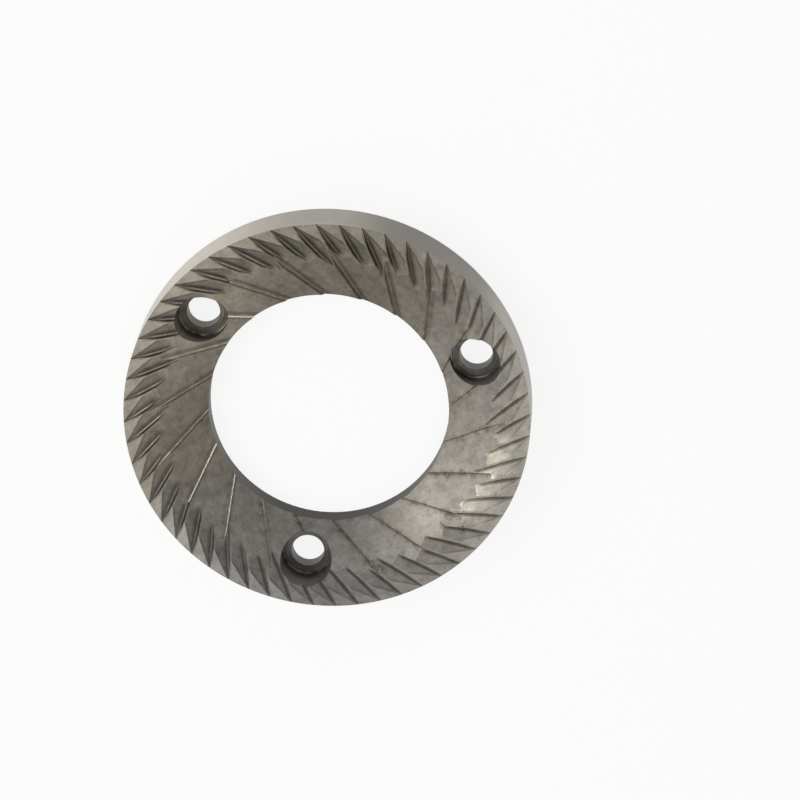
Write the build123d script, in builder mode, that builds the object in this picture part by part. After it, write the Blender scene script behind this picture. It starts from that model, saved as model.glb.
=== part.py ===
from build123d import *

import os
from math import asin, cos, degrees, radians, sin, sqrt, tan

# Ring blank, all lengths in millimetres. The back face lies on z = 0.
outer_diameter = 64.0
bore_diameter = 38.0
thickness = 8.0
back_edge_break = 0.3  # chamfer where the rim and the bore meet the back face

# Screw holes, sunk from the cutting face so the heads sit below the teeth
screw_count = 3
screw_circle_diameter = 50.0
screw_hole_diameter = 5.2
screw_head_diameter = 8.1
screw_seat_thickness = 2.5  # metal left under a screw head

# Dish that takes the beans in from the bore, measured on the coarse ridges
dish_diameter = 55.0  # circle where the ridges come level with the flat lands
dish_depth = 4.15  # how far the ridges have dropped at the bore

# Coarse teeth: a wide ramp down to a foot line, then a short step up to the next
coarse_count = 20
coarse_line_offset = 13.3  # distance at which a foot line passes the axis
coarse_step = 0.55  # height of the step above the foot line
coarse_step_angle = 50.0  # slope of the step
coarse_turn = -2.4  # angle of the first foot line at the bore, from the first screw

# Fine teeth: straight sawtooth grooves that deepen towards the dish
fine_count = 56
fine_line_offset = 16.8  # distance at which a groove passes the axis
fine_lead_in = 0.4  # how far outside the rim a groove starts from nothing
fine_fall_angle = 7.7  # fall of the groove bottom towards the dish
fine_steep_angle = 54.3  # steep flank, the cutting side
fine_ramp_angle = 19.5  # long flank, the relief side
fine_turn = 0.1  # angle of the first groove at the rim, from the first screw

# Room between a cutter and the metal where it has to run clear
cutter_clearance = 0.5

outer_radius = outer_diameter / 2
bore_radius = bore_diameter / 2
dish_radius = dish_diameter / 2


def along_line(radius, offset):
    """Length of a line from where it passes the axis at offset out to a radius."""
    return sqrt(radius**2 - offset**2)


# Plain ring with both back edges broken
with BuildPart() as burr:
    with BuildSketch(Plane.XZ) as ring_section:
        with Locations((bore_radius, 0)):
            Rectangle(outer_radius - bore_radius, thickness, align=(Align.MIN, Align.MIN))
        chamfer(ring_section.vertices().group_by(Axis.Y)[0], length=back_edge_break)
    revolve(axis=Axis.Z)

# Cutter for one coarse tooth. It lies along X, with the foot line running straight
# out from its nearest point to the axis. Its ramp spans from the foot line back to
# the foot line of the tooth before, one pitch clockwise and one step higher.
coarse_pitch = radians(360 / coarse_count)
coarse_bore_end = along_line(bore_radius, coarse_line_offset)
coarse_dish_end = along_line(dish_radius, coarse_line_offset)
coarse_slope = dish_depth / (coarse_dish_end - coarse_bore_end)
coarse_cutter_end = coarse_dish_end + (coarse_step + cutter_clearance) / coarse_slope


def foot_height(distance):
    """Height of a coarse foot line at a distance along it."""
    return thickness - coarse_step - coarse_slope * (coarse_dish_end - distance)


def distance_on_neighbour(distance):
    """Where a square line across one foot line meets the one before it."""
    return (distance + coarse_line_offset * sin(coarse_pitch)) / cos(coarse_pitch)


def ramp_width(distance):
    """Plan width of a coarse ramp at a distance along its foot line."""
    return distance * tan(coarse_pitch) + coarse_line_offset * (1 / cos(coarse_pitch) - 1)


def ramp_top(distance):
    """Height of the upper edge of a coarse ramp."""
    return foot_height(distance_on_neighbour(distance)) + coarse_step


coarse_cutter_top = ramp_top(coarse_cutter_end) + cutter_clearance
step_rise = coarse_step + cutter_clearance
step_run = step_rise / tan(radians(coarse_step_angle))

with BuildPart() as coarse_cutter:
    for station in (0, coarse_cutter_end):
        across = Plane((station, -coarse_line_offset, 0), x_dir=(0, -1, 0), z_dir=(-1, 0, 0))
        with BuildSketch(across):
            with BuildLine():
                Polyline(
                    (0, foot_height(station)),
                    (ramp_width(station), ramp_top(station)),
                    (ramp_width(station), coarse_cutter_top),
                    (-step_run, coarse_cutter_top),
                    (-step_run, foot_height(station) + step_rise),
                    close=True,
                )
            make_face()
    loft(ruled=True)

# Cutter for one fine groove. Its bottom line starts level with the lands just
# outside the rim and falls until it runs clear over the dish.
fine_rim_end = along_line(outer_radius, fine_line_offset)
fine_clear_radius = bore_radius + (dish_radius - bore_radius) / 4
fine_run = fine_rim_end + fine_lead_in - along_line(fine_clear_radius, fine_line_offset)
fine_fall = radians(fine_fall_angle)
fine_cutter_height = fine_run * tan(fine_fall) + cutter_clearance

with BuildPart() as fine_cutter:
    groove_start = Plane(
        (fine_rim_end + fine_lead_in, -fine_line_offset, thickness),
        x_dir=(0, -1, 0),
        z_dir=(-cos(fine_fall), 0, -sin(fine_fall)),
    )
    with BuildSketch(groove_start):
        with BuildLine():
            Polyline(
                (0, 0),
                (fine_cutter_height / tan(radians(fine_ramp_angle)), fine_cutter_height),
                (-fine_cutter_height / tan(radians(fine_steep_angle)), fine_cutter_height),
                close=True,
            )
        make_face()
    extrude(amount=fine_run / cos(fine_fall))

# Both rows of teeth are cut round the ring, then the screw holes are sunk
coarse_start = coarse_turn + degrees(asin(coarse_line_offset / bore_radius))
fine_start = fine_turn + degrees(asin(fine_line_offset / outer_radius))

with burr:
    with PolarLocations(0, coarse_count, start_angle=coarse_start):
        add(coarse_cutter.part, mode=Mode.SUBTRACT)
    with PolarLocations(0, fine_count, start_angle=fine_start):
        add(fine_cutter.part, mode=Mode.SUBTRACT)
    with Locations((0, 0, thickness)):
        with PolarLocations(screw_circle_diameter / 2, screw_count):
            CounterBoreHole(
                radius=screw_hole_diameter / 2,
                counter_bore_radius=screw_head_diameter / 2,
                counter_bore_depth=thickness - screw_seat_thickness,
                depth=thickness,
            )

burr.part.label = "burr"

os.makedirs("parts", exist_ok=True)
export_step(burr.part, "parts/burr.step")
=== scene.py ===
from math import asin, cos, degrees, radians, sin, tan

import bpy
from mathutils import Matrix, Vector

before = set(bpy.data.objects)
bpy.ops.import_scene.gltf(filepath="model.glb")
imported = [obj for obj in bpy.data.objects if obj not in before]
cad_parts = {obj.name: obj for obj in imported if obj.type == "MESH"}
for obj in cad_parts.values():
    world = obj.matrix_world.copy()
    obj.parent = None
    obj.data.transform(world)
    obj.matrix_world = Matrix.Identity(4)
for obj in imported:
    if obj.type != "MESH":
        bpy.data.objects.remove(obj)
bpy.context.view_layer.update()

# The burr: one ring of hardened tool steel, turned, with both rows of teeth milled
# into its face and the flat tooth tops ground level afterwards. Three screws hold it
# to its carrier, with their heads sunk below the teeth.
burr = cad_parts["burr"]
steel = bpy.data.materials.new("burr_steel")
steel.use_nodes = True
steel_shader = steel.node_tree.nodes["Principled BSDF"]
burr.data.materials.clear()
burr.data.materials.append(steel)


class Wire:
    """One socket of a material, which can be used in sums."""

    def __init__(self, tree, socket=None):
        self.tree = tree
        self.socket = socket

    def node(self, kind, settings=None, inputs=None, output=0):
        """Any other node: its settings first, then its sockets, as values or links."""
        made = self.tree.nodes.new(kind)
        for name, value in (settings or {}).items():
            setattr(made, name, value)
        for name, value in (inputs or {}).items():
            if isinstance(value, Wire):
                self.tree.links.new(value.socket, made.inputs[name])
            else:
                made.inputs[name].default_value = value
        return Wire(self.tree, made.outputs[output])

    def out(self, name):
        """Another output of the same node."""
        return Wire(self.tree, self.socket.node.outputs[name])

    def math(self, operation, *values):
        return self.node("ShaderNodeMath", {"operation": operation}, dict(enumerate(values)))

    def __add__(self, other):
        return self.math("ADD", self, other)

    def __radd__(self, other):
        return self.math("ADD", other, self)

    def __sub__(self, other):
        return self.math("SUBTRACT", self, other)

    def __rsub__(self, other):
        return self.math("SUBTRACT", other, self)

    def __mul__(self, other):
        return self.math("MULTIPLY", self, other)

    def __rmul__(self, other):
        return self.math("MULTIPLY", other, self)

    def __truediv__(self, other):
        return self.math("DIVIDE", self, other)

    def __rtruediv__(self, other):
        return self.math("DIVIDE", other, self)

    def __pow__(self, other):
        return self.math("POWER", self, other)

    def __abs__(self):
        return self.math("ABSOLUTE", self)


def sine(turn):
    return turn.math("SINE", turn)


def cosine(turn):
    return turn.math("COSINE", turn)


def smaller(first, second):
    return first.math("MINIMUM", first, second)


def larger(first, second):
    return first.math("MAXIMUM", first, second)


def length(across, along):
    """Length of a line, from how far it goes each way."""
    return (across * across + along * along) ** 0.5


def rises(value, start, end):
    """0 below start, 1 above end, smooth between them."""
    sockets = {"Value": value, "From Min": start, "From Max": end}
    return value.node("ShaderNodeMapRange", {"interpolation_type": "SMOOTHSTEP"}, sockets)


def falls(value, start, end):
    """1 below start, 0 above end, smooth between them."""
    return 1 - rises(value, start, end)


def band(value, start, full, fade, end):
    """1 from full to fade, 0 below start and above end, smooth between them."""
    return rises(value, start, full) * falls(value, fade, end)


def scaled(vector_or_colour, times):
    sockets = {"Vector": vector_or_colour, "Scale": times}
    return vector_or_colour.node("ShaderNodeVectorMath", {"operation": "SCALE"}, sockets)


# Place on the burr in millimetres, as height, radius and angle, and how far the
# surface faces up
object_place = Wire(steel.node_tree).node("ShaderNodeTexCoord", output="Object")
place = scaled(object_place, 1000.0)
x = place.node("ShaderNodeSeparateXYZ", inputs={0: place}, output="X")
y = x.out("Y")
height = x.out("Z")
radius = length(x, y)
angle = y.math("ARCTAN2", y, x)
facing = object_place.out("Normal")
up_facing = facing.node("ShaderNodeSeparateXYZ", inputs={0: facing}, output="Z")

# Upright turned walls, and the flat lands that were ground level
face_height = 8.0
wall = falls(abs(up_facing), 0.25, 0.4)
land = rises(height, face_height - 0.03, face_height - 0.01) * rises(up_facing, 0.96, 0.98)


def beside_line(offset, count, start, share):
    """Plan distance past the nearest slanted cut line, less than zero before it, and
    the distance along that line from its nearest point to the axis. Each line has the
    given share of a pitch past it and the rest before it."""
    pitch = radians(360 / count)
    before = pitch * (1 - share)
    lean = radius.math("ARCSINE", offset / radius)
    turned = angle + lean + (before - radians(start))
    turned = turned.math("FLOORED_MODULO", turned, pitch) - before - lean
    return offset + radius * sine(turned), radius * cosine(turned)


# Coarse teeth: a long ramp down to each foot line and a short steep step up from it
bore_radius = 19.0
dish_radius = 27.5
dish_depth = 4.15
coarse_count = 20
coarse_offset = 13.3
coarse_turn = -2.4
coarse_step = 0.55
coarse_step_angle = 50
coarse_start = coarse_turn + degrees(asin(coarse_offset / bore_radius))
coarse_past, coarse_along = beside_line(coarse_offset, coarse_count, coarse_start, 0.14)
coarse_before = 0 - coarse_past
coarse_pitch = radians(360 / coarse_count)
coarse_bore_end = (bore_radius**2 - coarse_offset**2) ** 0.5
coarse_dish_end = (dish_radius**2 - coarse_offset**2) ** 0.5
coarse_slope = dish_depth / (coarse_dish_end - coarse_bore_end)
coarse_foot = face_height - coarse_step - coarse_slope * (coarse_dish_end - coarse_along)
turn_gain = 1 / cos(coarse_pitch) - 1
ramp_reach = coarse_along * turn_gain + coarse_offset * tan(coarse_pitch)
ramp_width = coarse_along * tan(coarse_pitch) + coarse_offset * turn_gain
coarse_rise = (coarse_slope * ramp_reach + coarse_step) / ramp_width
step_climb = smaller(coarse_past * tan(radians(coarse_step_angle)), coarse_step)
coarse_climb = larger(step_climb, coarse_before * coarse_rise)
coarse_face = smaller(coarse_foot + coarse_climb, face_height)

# Fine teeth: straight sawtooth grooves that fall towards the dish
rim_radius = 32.0
fine_count = 56
fine_offset = 16.8
fine_turn = 0.1
fine_lead_in = 0.4
fine_fall = radians(7.7)
fine_ramp_angle = 19.5
fine_steep_angle = 54.3
fine_start = fine_turn + degrees(asin(fine_offset / rim_radius))
fine_past, fine_along = beside_line(fine_offset, fine_count, fine_start, 0.25)
fine_before = 0 - fine_past
fine_line_start = (rim_radius**2 - fine_offset**2) ** 0.5 + fine_lead_in
fine_foot = face_height - (fine_line_start - fine_along) * tan(fine_fall)
ramp_rise = tan(radians(fine_ramp_angle)) / cos(fine_fall)
steep_rise = tan(radians(fine_steep_angle)) / cos(fine_fall)
fine_face = fine_foot + larger(fine_past * steep_rise, fine_before * ramp_rise)
groove = falls(abs(height - fine_face), 0.02, 0.05) * (1 - land)
fine_steep = groove * rises(fine_past, -0.01, 0.03)
fine_ramp = groove - fine_steep
fine_depth = coarse_face - fine_foot
groove_depth = coarse_face - height

# Screw holes: a plain hole, a flat seat for the head and a straight wall above it
screw_count = 3
screw_circle_radius = 25.0
screw_head_radius = 4.05
screw_hole_radius = 2.6
seat_height = 2.5
screw_pitch = radians(360 / screw_count)
hole_angle = angle.math("WRAP", angle, screw_pitch / 2, -screw_pitch / 2)
hole_x = radius * cosine(hole_angle) - screw_circle_radius
hole_y = radius * sine(hole_angle)
hole_distance = length(hole_x, hole_y)
hole = falls(hole_distance, screw_head_radius + 0.02, screw_head_radius + 0.07)
narrow = falls(hole_distance, screw_hole_radius + 0.02, screw_hole_radius + 0.06)
above_seat = rises(height, seat_height + 0.02, seat_height + 0.08)
screw_hole = hole * narrow * falls(height, seat_height - 0.05, seat_height)
screw_seat = hole * (1 - narrow) * rises(height, seat_height - 0.3, seat_height - 0.1) * (1 - above_seat)
screw_wall = hole * (1 - land) * above_seat
seat_edge = rises(hole_distance, screw_head_radius - 0.25, screw_head_radius - 0.07)
corner_highlight = hole * falls(abs(height - seat_height), 0.06, 0.2) * seat_edge

# The toothed side, above the lowest foot line, with the dish on it, and both walls
lowest_foot = face_height - coarse_step - dish_depth
front = rises(height, lowest_foot - 0.4, lowest_foot - 0.2)
dish = front * (1 - land) * (1 - groove) * (1 - wall) * (1 - hole)
rim = wall * rises(radius, rim_radius - 0.5, rim_radius - 0.3)
bore = wall * falls(radius, bore_radius + 0.3, bore_radius + 0.5)


def noise(vector, scale, detail, roughness):
    sockets = {"Vector": vector, "Scale": scale, "Detail": detail, "Roughness": roughness}
    return vector.node("ShaderNodeTexNoise", inputs=sockets)


def vector(first, second, third):
    return first.node("ShaderNodeCombineXYZ", inputs={0: first, 1: second, 2: third})


# Uneven tone of the heat treatment, specks, scratches and traces of the cutters
round_x, round_y = x / radius, y / radius
drift = noise(place, 0.13, 1.0, 0.5)
blotches = noise(place, 0.55, 4.0, 0.6)
tints = noise(place, 0.9, 2.0, 0.5)
tint_colour = tints.out("Color")
other_tints = tint_colour.node("ShaderNodeSeparateColor", inputs={0: tint_colour}, output="Green")
grain = noise(place, 4.0, 3.0, 0.6)
specks = rises(noise(place, 2.2, 2.0, 0.5), 0.64, 0.72)
stains = noise(place, 0.9, 4.0, 0.65)
scratch_field = noise(vector(radius * 0.8, round_x * 2.2, round_y * 2.2), 1.0, 2.0, 0.5)
scratches = falls(abs(scratch_field - 0.5), 0.004, 0.016) * rises(grain, 0.42, 0.6)
fine_marks = noise(vector(fine_along * 0.3, fine_past * 7.0, height * 2.0), 1.0, 2.0, 0.5)
coarse_marks = noise(vector(coarse_along * 0.25, coarse_past * 4.0, height), 1.0, 3.0, 0.6)
seat_rings = noise(vector(hole_distance * 5.0, hole_x * 0.2, hole_y * 0.2), 1.0, 2.0, 0.6)
turning = noise(vector(height * 2.5, round_x * 1.5, round_y * 1.5), 1.0, 3.0, 0.6)


def around(degrees_round, start, end):
    """0 to 1 towards one side of the ring, by the cosine of the angle from it. Angles
    count from the first screw hole."""
    return rises(cosine(angle - radians(degrees_round)), start, end)


# Sides of the ring for painted light and shade. The lamp side gets painted shade in the
# groove bottoms and a painted highlight line in them; the highlight side gets painted
# highlights in blotches. The glints are painted highlights that fall on one side each.
lamp_side = around(124, -0.45, 0.35)
lamp_side_dish = around(108, -0.15, 0.35)
highlight_side = around(316, 0.94, 0.98) * rises(blotches, 0.15, 0.45)
glint = around(125, 0.3, 0.92)
dish_glint = around(145, 0.1, 0.7)
lone_glint = around(111.5, 0.985, 0.998)
left_glint = around(196, 0.86, 0.98)
left_side = around(180, 0.5, 0.95)
right_side = around(0, 0.6, 0.95)

# Tone of the bare steel, calmer on the turned walls than on the cut faces
heat_tone = (0.54 + 0.92 * blotches) * (0.85 + 0.3 * drift)
cut_tone = (0.75 + 0.5 * grain) * (1 + 0.3 * front * (coarse_marks - 0.5))
flaws = (1 - 0.35 * specks) * (1 - 0.25 * scratches) * (1.06 - 0.16 * rises(stains, 0.45, 0.65))
tone = heat_tone * cut_tone * flaws
tone = tone + 0.8 * wall * (1 - tone)

# Lands: a painted sheen, paler on two opposite sides and darker between them, painted
# light and shade on some further sides, and stains
palest_land = 324
land_sheen_and_stains = 0.12 + 0.15 * cosine(2 * angle - radians(2 * palest_land))
land_sheen_and_stains = land_sheen_and_stains - 0.18 * around(249, 0.6, 0.95) - 0.13 * around(46, 0.6, 0.95)
land_sheen_and_stains = land_sheen_and_stains + 0.32 * around(211, 0.85, 0.98) + 0.1 * around(339, 0.8, 0.97)
land_sheen_and_stains = land_sheen_and_stains + 0.5 * (tints - 0.5) + 0.5 * (stains - 0.5)
tone = tone * (1 + land * land_sheen_and_stains)

# Long flanks of the fine grooves: painted shade, more of it next to the lands and near
# the groove bottom, broad there on the lamp side and soft on the other, both gone where
# a groove runs out into the dish
land_border = falls(groove_depth, 0.03, 0.22) * rises(height, face_height - 0.4, face_height - 0.1)
fine_root_shade = band(fine_before, 0.04, 0.24, 0.3, 1.0) * rises(groove_depth, 0.0, 0.2)
fine_shade = band(fine_before, -0.06, 0.06, 0.2, 0.52) * rises(groove_depth, 0.0, 0.2)
ramp_shade = 0.23 + 0.17 * land_border - 0.05 * highlight_side + 0.5 * (1 - lamp_side) * fine_shade
ramp_shade = ramp_shade + 0.51 * lamp_side * fine_root_shade * (1 - 0.3 * left_side)
run_out = lamp_side * falls(groove_depth, 0.0, 0.3) * falls(height, face_height - 0.25, face_height - 0.1)
ramp_shade = ramp_shade * (1 - run_out) - run_out * (0.12 - 0.14 * left_side)
dish_edge = falls(groove_depth, 0.004, 0.02) * falls(height, face_height - 0.2, face_height - 0.05)
ramp_shade = ramp_shade * (1 - dish_edge) - 0.2 * lamp_side * dish_edge
tone = tone * (1 - fine_ramp * ramp_shade)

# Steep flanks with painted shade, lightened on one side, painted shade on the edge above
# them and a painted highlight line in the groove bottom
steep_shade = 0.94 * lamp_side - 0.3 - 1.2 * right_side
tone = tone * (1 - fine_steep * rises(fine_past, 0.02, 0.12) * steep_shade)
fine_crest_shade = front * (1 - groove) * band(fine_past, 0.05, 0.1, 0.3, 0.62)
fine_crest_shade = fine_crest_shade * rises(fine_depth, 0.1, 0.4) * (0.12 + 0.48 * lamp_side)
tone = tone * (1 - fine_crest_shade)
fine_highlight_line = groove * band(fine_before, -0.2, -0.13, -0.05, 0.06) * rises(fine_depth, 0.1, 0.5)
tone = tone * (1 + fine_highlight_line * (1.7 * glint - 0.15))

# Painted highlights in ragged patches at the inner ends of the grooves on the
# highlight side
inner_end = falls(fine_along, 20.5, 25.5)
past_groove = fine_face - coarse_face + 0.45 * (stains - 0.5)
highlight_patches = highlight_side * inner_end * falls(past_groove, -0.01, 0.04) * rises(fine_before, 0.0, 0.1)
highlight_patches = highlight_patches * front * (1 - hole)
tone = tone * (1 + highlight_patches * (0.45 + 0.8 * blotches))

# Dish: painted light and shade by side, with one painted highlight spot
tone = tone * (1 + 0.2 * dish * lamp_side) * (1 - 0.1 * dish * around(320, 0.5, 0.95))
tone = tone * (1 + dish * (0.12 * around(118, 0.85, 0.98) - 0.1 * around(66, 0.85, 0.98)))
dish_highlight = length(x - 9.0, y + 21.6) + 6.0 * (blotches - 0.5)
dish_highlight = dish * falls(dish_highlight, 0.5, 5.0)
tone = tone * (1 + 0.28 * dish_highlight)

# Coarse steps: painted shade below them and on their crests on the lamp side; on the other
# side a painted highlight on the wall, painted shade at the foot and brown smears; and a
# painted highlight line in the corner
root_shade_place = coarse_before + 0.18 * left_side
coarse_root_shade = band(root_shade_place, 0.05, 0.35, 0.45, 1.05) * (1 - 0.3 * left_side)
tone = tone * (1 - 0.42 * dish * lamp_side_dish * coarse_root_shade)
coarse_crest = dish * band(coarse_past, 0.08, 0.18, 0.4, 0.6)
tone = tone * (1 - 0.3 * coarse_crest * lamp_side)
coarse_wall = dish * band(coarse_past, 0.0, 0.06, 0.3, 0.38)
tone = tone * (1 + coarse_wall * (1 - lamp_side) * (0.4 + 1.3 * right_side))
foot_shade = dish * band(coarse_before, -0.15, -0.05, 0.15, 0.4) * (1 - lamp_side)
tone = tone * (1 - 0.3 * foot_shade * (1 - right_side))
coarse_smear = dish * falls(abs(coarse_past), 0.25, 1.0)
coarse_smear = coarse_smear * (0.3 + 0.7 * rises(stains + 0.3 * tints, 0.6, 0.8)) * (1 - lamp_side_dish)
tone = tone * (1 - 0.3 * coarse_smear)
coarse_highlight_line = dish * band(coarse_before, -0.23, -0.17, -0.12, -0.02)
highlight_gain = (0.9 * dish_glint + 1.3 * left_glint) * (0.4 + rises(stains, 0.4, 0.58))
tone = tone * (1 + coarse_highlight_line * (highlight_gain + 2.4 * lone_glint))

# Screw holes: painted shade on the walls and the seat, turned rings in the seat and a
# painted highlight on the corner round it
tone = tone * (1 - 0.62 * screw_hole) * (1 - 0.5 * screw_wall)
tone = tone * (1 - screw_seat * (1.05 - seat_rings))
tone = tone * (1 + 2.4 * corner_highlight * rises(blotches, 0.42, 0.6))


def chip(chip_x, chip_y, size):
    """A rough spot with a ragged edge."""
    distance = length(x - chip_x, y - chip_y) + 2.4 * (stains - 0.5)
    return falls(distance, -0.2 * size, size)


# Broken tooth corners and rough spots on one side of the ring
chips = chip(13.6, -16.7, 0.7)
for chip_x, chip_y, chip_size in (
    (16.1, -16.8, 0.6),
    (11.6, -22.6, 1.0),
    (12.9, -25.1, 0.8),
    (10.2, -23.7, 0.7),
    (-1.9, -27.0, 0.8),
    (-2.9, -25.9, 0.6),
):
    chips = larger(chips, chip(chip_x, chip_y, chip_size))
chips = chips * front
tone = tone * (1 - 1.4 * chips * (1 - chips)) * (1 + chips * (4.0 * grain - 1.7))

# Walls: painted shade in the bore, and on the turned rim a painted highlight on one side
# and painted shade on another
tone = tone * (1 - bore * (0.72 + 0.12 * around(250, 0.5, 0.95)))
rim_highlight_and_turning = 0.95 * around(133, 0.5, 0.99) + 0.6 * turning - 0.12
tone = tone * (1 + rim * rim_highlight_and_turning) * (1 - 0.5 * rim * around(36, 0.88, 0.995))


def blend_colour(factor, first, second):
    colour_a, colour_b, colour_result = 6, 7, 2
    sockets = {0: factor, colour_a: first, colour_b: second}
    return factor.node("ShaderNodeMix", {"data_type": "RGBA"}, sockets, output=colour_result)


# Colour: grey steel, warmer on the lamp side and bluer at the lower left, with faint
# tints, brown in stained places, chips and painted shade lines, and neutral on the
# painted highlight lines and the rim
bare_grey = (0.268, 0.252, 0.232, 1)
warm_grey = (0.282, 0.255, 0.209, 1)
olive_tint = (0.27, 0.262, 0.205, 1)
rosy_tint = (0.277, 0.25, 0.228, 1)
blue_grey = (0.262, 0.257, 0.253, 1)
stain_brown = (0.281, 0.246, 0.193, 1)
highlight_grey = (0.28, 0.268, 0.242, 1)
rim_grey = (0.288, 0.268, 0.234, 1)
shaded_lines = larger(fine_steep, coarse_crest)
brown = larger(0.5 * rises(stains, 0.56, 0.7) * dish, 0.5 * shaded_lines)
brown = larger(larger(brown, 0.35 * highlight_patches), larger(coarse_smear, 0.8 * chips))
# The painted highlight lines get a neutral grey
highlight_lines = fine_highlight_line * glint + coarse_highlight_line * larger(dish_glint, left_glint)
steel_colour = blend_colour(lamp_side, bare_grey, warm_grey)
steel_colour = blend_colour(0.6 * rises(tints, 0.42, 0.62), steel_colour, olive_tint)
steel_colour = blend_colour(0.6 * rises(other_tints, 0.42, 0.62), steel_colour, rosy_tint)
steel_colour = blend_colour(0.6 * around(230, 0.5, 0.95), steel_colour, blue_grey)
steel_colour = blend_colour(brown, steel_colour, stain_brown)
steel_colour = blend_colour(highlight_lines, steel_colour, highlight_grey)
steel_colour = scaled(blend_colour(rim, steel_colour, rim_grey), tone)


def rounded_bottom(past, before_reach, past_reach):
    """1 on a cut line, falling to 0 on both sides as a rounded groove bottom does."""
    left = larger(1 - larger(past / -before_reach, past / past_reach), 0.0)
    return left * left


# Relief in millimetres: rounded groove bottoms left by the corner of each cutter,
# cutter marks, grain, scratches, rough chips and the turned rim
cutter_corner = 0.05
fine_root = rounded_bottom(fine_past - cutter_corner, 0.15, 0.12) * rises(fine_depth, 0.05, 0.45)
coarse_root = rounded_bottom(coarse_past - cutter_corner, 0.17, 0.14) * dish
relief = 0.05 * fine_root * groove + 0.045 * coarse_root * lamp_side
relief = relief + 0.008 * (fine_marks - 0.5) * groove * rises(groove_depth, 0.0, 0.25)
relief = relief + (0.006 * grain - 0.005 * scratches) * (1 - 0.8 * wall)
relief = relief + 0.11 * chips * grain + 0.004 * turning * rim
bump = relief.node("ShaderNodeBump", inputs={"Height": relief, "Distance": 0.001})

steel_roughness = 0.36 + 0.16 * grain - 0.06 * rim
steel_shader.inputs["Metallic"].default_value = 1.0
steel.node_tree.links.new(steel_colour.socket, steel_shader.inputs["Base Color"])
steel.node_tree.links.new(steel_roughness.socket, steel_shader.inputs["Roughness"])
steel.node_tree.links.new(bump.socket, steel_shader.inputs["Normal"])

# The floor: a plain white sheet that the burr lies on. The camera and the steel see it
# lifted towards white, with part of the burr's shadow left on it.
just_under_burr = -0.00005
bpy.ops.object.select_all(action="DESELECT")
bpy.ops.mesh.primitive_plane_add(size=6, location=(0, 0, just_under_burr))
floor = bpy.context.object
floor.name = "floor"
paper = bpy.data.materials.new("white_paper")
paper.use_nodes = True
floor.data.materials.append(paper)
paper_shader = paper.node_tree.nodes["Principled BSDF"]
paper_shader.inputs["Base Color"].default_value = (0.9, 0.9, 0.89, 1)
paper_shader.inputs["Roughness"].default_value = 1.0
paper_shader.inputs["Specular IOR Level"].default_value = 0.0
white_share = 0.86
camera_ray = Wire(paper.node_tree).node("ShaderNodeLightPath", output="Is Camera Ray")
seen = larger(camera_ray, camera_ray.out("Is Glossy Ray"))
seen = larger(seen, camera_ray.out("Is Transmission Ray"))
glow = seen.node("ShaderNodeEmission", inputs={"Color": (1, 1, 1, 1), "Strength": 1.0})
plain = Wire(paper.node_tree, paper_shader.outputs[0])
lifted = seen.node("ShaderNodeMixShader", inputs={0: seen * white_share, 1: plain, 2: glow})
paper_output = paper.node_tree.nodes["Material Output"]
paper.node_tree.links.new(lifted.socket, paper_output.inputs["Surface"])

# The light: a large soft lamp from the upper left of the picture, weaker ones from
# above, below and both sides, and an even grey surround.
world = bpy.data.worlds.new("surround")
bpy.context.scene.world = world
world.use_nodes = True
surround = world.node_tree.nodes["Background"]
surround.inputs["Color"].default_value = (1.0, 0.97, 0.93, 1)
surround.inputs["Strength"].default_value = 0.36

picture_turn = 21.24
lamp_distance = 0.6
for name, bearing, above, size, power in (
    ("key_lamp", 163, 48, 0.55, 1.5),
    ("top_lamp", 0, 88, 0.4, 0.45),
    ("low_lamp", 282, 48, 0.45, 0.5),
    ("side_lamp", 60, 12, 0.4, 0.55),
    ("left_lamp", 212, 22, 0.4, 0.35),
):
    turn, lift = radians(bearing - picture_turn), radians(above)
    spot = Vector((cos(turn) * cos(lift), sin(turn) * cos(lift), sin(lift))) * lamp_distance
    bpy.ops.object.light_add(type="AREA", location=spot)
    lamp = bpy.context.object
    lamp.name = name
    lamp.data.shape = "DISK"
    lamp.data.size = size
    lamp.data.energy = power
    lamp.rotation_euler = (-spot).to_track_quat("-Z", "Y").to_euler()

# The camera: a long lens above the burr, at the angle and in the frame of the picture.
# Colours come out as they are written, with no film look.
camera_place = (0.144534, 0.216933, 0.673597)
camera_turns = (-20.6903, 3.5819, -21.8941)
bpy.ops.object.camera_add(
    location=camera_place, rotation=[radians(turn) for turn in camera_turns]
)
camera = bpy.context.object
camera.data.lens = 205.172
bpy.context.scene.camera = camera
bpy.context.scene.view_settings.view_transform = "Standard"
